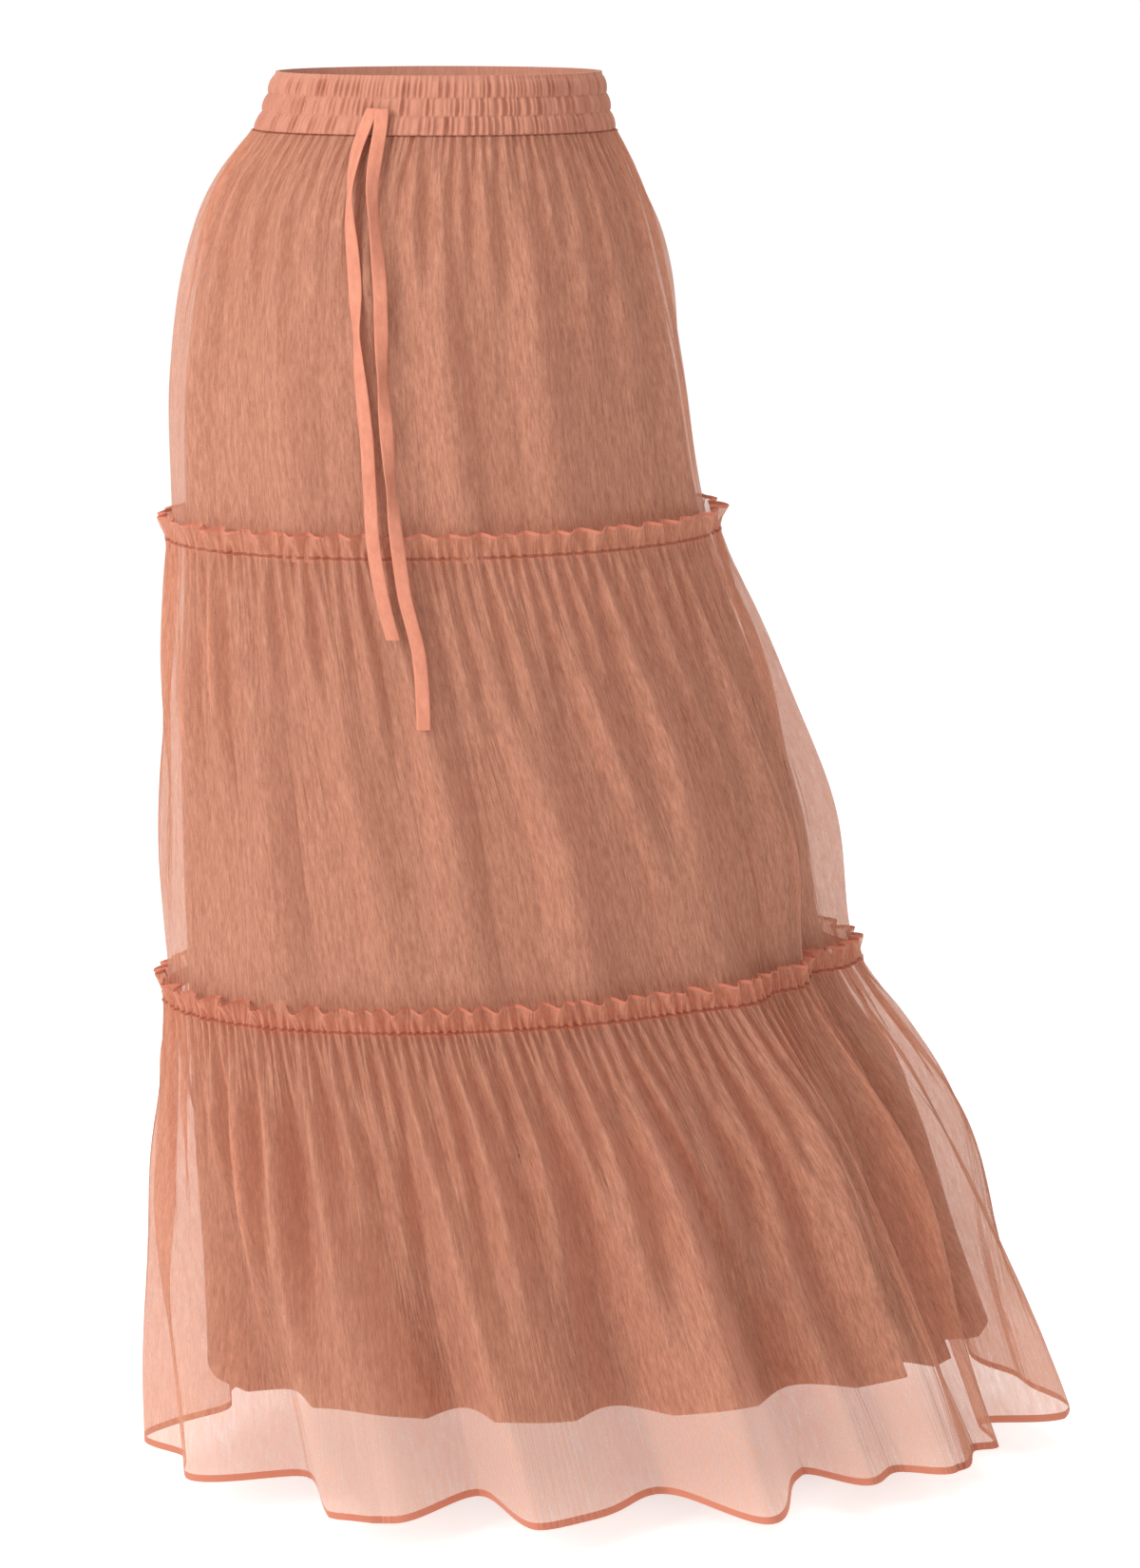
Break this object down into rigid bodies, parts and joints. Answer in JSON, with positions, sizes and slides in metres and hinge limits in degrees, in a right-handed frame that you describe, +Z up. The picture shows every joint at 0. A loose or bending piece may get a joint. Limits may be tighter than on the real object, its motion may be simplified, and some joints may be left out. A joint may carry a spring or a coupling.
{
  "type": "tiered ruffle skirt",
  "caption": "Floor-length sheer tiered skirt with ruffled seams, a ruched elastic waistband, a drawstring and an opaque lining, worn and swung to one side.",
  "frame": {"origin": "middle of the waistband, on the axis of the waist, where the wearer's waist holds the skirt", "axes": "+Z up along the wearer, the centre front faces -Y, +X to the wearer's left, the side that the skirt swings to"},
  "size_m": [0.6859, 0.5333, 1.065],
  "materials": {
    "chiffon": "sheer crinkle chiffon, terracotta coral, fine upright ribs, matt with a faint shimmer",
    "ruched_band": "the same chiffon, doubled and ruched over elastic, matt",
    "tie": "the same chiffon, folded flat and stitched",
    "lining": "opaque plain weave lining, dusty brown, slightly satin"
  },
  "bodies": {
    "root": {"waistband": "ruched_band", "tier_1_front": "chiffon", "tier_1_back": "chiffon", "tier_2_front": "chiffon", "tier_2_back": "chiffon", "tier_3_front": "chiffon", "tier_3_back": "chiffon", "lining_front": "lining", "lining_back": "lining", "drawstring_right": "tie", "drawstring_left": "tie"}
  },
  "joints": []
}
